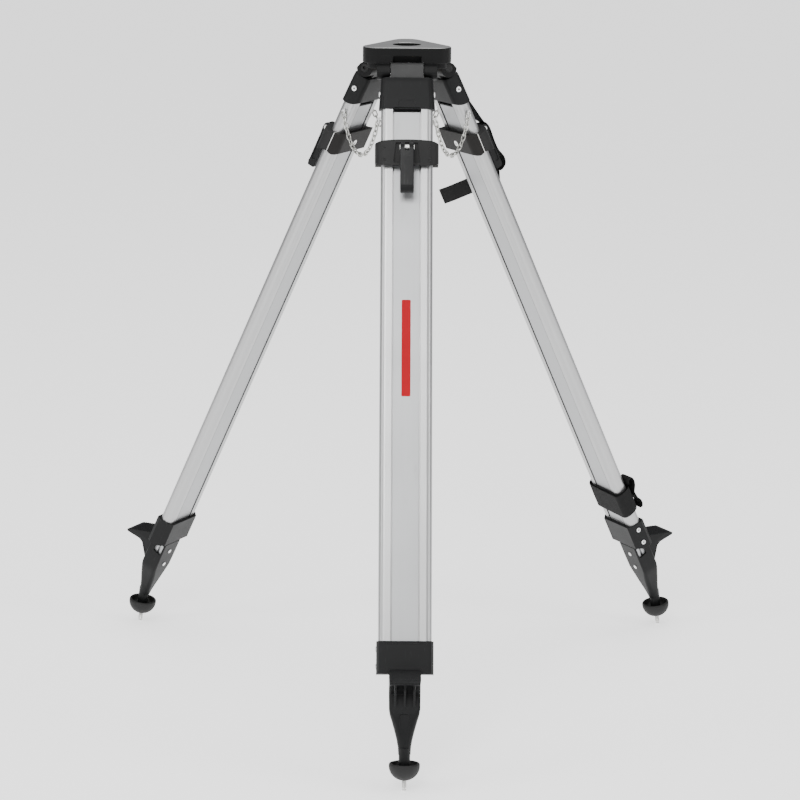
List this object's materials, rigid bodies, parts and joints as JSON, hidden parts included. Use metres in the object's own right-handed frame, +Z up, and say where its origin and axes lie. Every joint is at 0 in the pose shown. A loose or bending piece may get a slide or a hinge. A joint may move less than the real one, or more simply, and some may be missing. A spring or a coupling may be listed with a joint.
{
  "type": "surveyor tripod",
  "caption": "Flat-head aluminium tripod with twin-rail telescopic legs, lever clamps, stepping feet with steel points and rubber cups, spreader chains and a shoulder strap.",
  "frame": {"origin": "centre of the head's bore at the top face of the head, where an instrument stands", "axes": "+Z up out of the top face, -Y towards the front leg, +X towards the right leg's side"},
  "size_m": [0.952, 0.8332, 1.0506],
  "materials": {
    "anodised_aluminium": "satin anodised",
    "black_casting": "black coated casting, machined top face",
    "black_plastic": "fine grain moulded",
    "zinc_steel": "bright zinc plated",
    "brass": "turned",
    "rubber": "matt",
    "webbing": "woven webbing"
  },
  "bodies": {
    "head": {"head_plate": "black_casting", "arm_pivot": "zinc_steel", "front_hinge_bolt": "zinc_steel", "right_hinge_bolt": "zinc_steel", "left_hinge_bolt": "zinc_steel", "spreader_chains": "zinc_steel"},
    "arm": {"swing_arm": "black_casting"},
    "screw_bush": {"screw_bush": "brass"},
    "screw": {"fixing_screw": "zinc_steel", "fixing_knob": "black_plastic"},
    "front_leg": {"front_leg_head": "black_plastic", "front_rail_a": "anodised_aluminium", "front_rail_b": "anodised_aluminium", "front_end_guide": "black_plastic", "front_leg_fixings": "zinc_steel"},
    "front_lower": {"front_inner_tube": "anodised_aluminium", "front_tube_plug": "black_plastic", "front_clamp_shell": "black_plastic", "front_clamp_plate": "black_plastic", "front_clamp_bolt": "zinc_steel", "front_foot": "black_plastic", "front_spike": "zinc_steel", "front_foot_rivets": "zinc_steel"},
    "front_lever": {"front_clamp_lever": "black_plastic"},
    "front_rubber": {"front_rubber_foot": "rubber"},
    "right_leg": {"right_leg_head": "black_plastic", "right_rail_a": "anodised_aluminium", "right_rail_b": "anodised_aluminium", "right_end_guide": "black_plastic", "right_leg_fixings": "zinc_steel", "shoulder_strap": "webbing", "tie_strap": "webbing", "band_strap": "webbing"},
    "right_lower": {"right_inner_tube": "anodised_aluminium", "right_tube_plug": "black_plastic", "right_clamp_shell": "black_plastic", "right_clamp_plate": "black_plastic", "right_clamp_bolt": "zinc_steel", "right_foot": "black_plastic", "right_spike": "zinc_steel", "right_foot_rivets": "zinc_steel"},
    "right_lever": {"right_clamp_lever": "black_plastic", "strap_keeper": "webbing"},
    "right_rubber": {"right_rubber_foot": "rubber"},
    "left_leg": {"left_leg_head": "black_plastic", "left_rail_a": "anodised_aluminium", "left_rail_b": "anodised_aluminium", "left_end_guide": "black_plastic", "left_leg_fixings": "zinc_steel"},
    "left_lower": {"left_inner_tube": "anodised_aluminium", "left_tube_plug": "black_plastic", "left_clamp_shell": "black_plastic", "left_clamp_plate": "black_plastic", "left_clamp_bolt": "zinc_steel", "left_foot": "black_plastic", "left_spike": "zinc_steel", "left_foot_rivets": "zinc_steel"},
    "left_lever": {"left_clamp_lever": "black_plastic"},
    "left_rubber": {"left_rubber_foot": "rubber"}
  },
  "joints": [
    {"name": "arm_swing", "type": "hinge", "parent": "head", "child": "arm", "pos_m": [0, 0.044, -0.037], "axis": [0, 0, 1], "range_deg": [-12, 12]},
    {"name": "screw_lift", "type": "slide", "parent": "arm", "child": "screw_bush", "axis": [0, 0, 1], "range_m": [0, 0.02]},
    {"name": "screw_turn", "type": "hinge", "parent": "screw_bush", "child": "screw", "pos_m": [0, 0, -0.03], "axis": [0, 0, 1], "continuous": true},
    {"name": "front_fold", "type": "hinge", "parent": "head", "child": "front_leg", "pos_m": [0, -0.05, -0.036], "axis": [-1, 0, 0], "range_deg": [-25.8, 20], "deforming": ["spreader_chains"]},
    {"name": "front_extend", "type": "slide", "parent": "front_leg", "child": "front_lower", "axis": [0, -0.4352, -0.9003], "range_m": [0, 0.65]},
    {"name": "front_lever_open", "type": "hinge", "parent": "front_lower", "child": "front_lever", "pos_m": [0, -0.14188, -0.14242], "axis": [-1, 0, 0], "range_deg": [0, 115]},
    {"name": "front_rubber_screw", "type": "slide", "parent": "front_lower", "child": "front_rubber", "axis": [0, -0.1616, -0.9869], "range_m": [0, 0.0165]},
    {"name": "right_fold", "type": "hinge", "parent": "head", "child": "right_leg", "pos_m": [0.0433, 0.025, -0.036], "axis": [0.5, -0.866, 0], "range_deg": [-25.8, 20], "deforming": ["spreader_chains", "tie_strap"]},
    {"name": "right_extend", "type": "slide", "parent": "right_leg", "child": "right_lower", "axis": [0.3769, 0.2176, -0.9003], "range_m": [0, 0.65], "deforming": ["shoulder_strap"]},
    {"name": "right_lever_open", "type": "hinge", "parent": "right_lower", "child": "right_lever", "pos_m": [0.12287, 0.07094, -0.14242], "axis": [0.5, -0.866, 0], "range_deg": [0, 115]},
    {"name": "right_rubber_screw", "type": "slide", "parent": "right_lower", "child": "right_rubber", "axis": [0.14, 0.0808, -0.9869], "range_m": [0, 0.0165]},
    {"name": "left_fold", "type": "hinge", "parent": "head", "child": "left_leg", "pos_m": [-0.0433, 0.025, -0.036], "axis": [0.5, 0.866, 0], "range_deg": [-25.8, 20], "deforming": ["spreader_chains"]},
    {"name": "left_extend", "type": "slide", "parent": "left_leg", "child": "left_lower", "axis": [-0.3769, 0.2176, -0.9003], "range_m": [0, 0.65]},
    {"name": "left_lever_open", "type": "hinge", "parent": "left_lower", "child": "left_lever", "pos_m": [-0.12287, 0.07094, -0.14242], "axis": [0.5, 0.866, 0], "range_deg": [0, 115]},
    {"name": "left_rubber_screw", "type": "slide", "parent": "left_lower", "child": "left_rubber", "axis": [-0.14, 0.0808, -0.9869], "range_m": [0, 0.0165]}
  ]
}
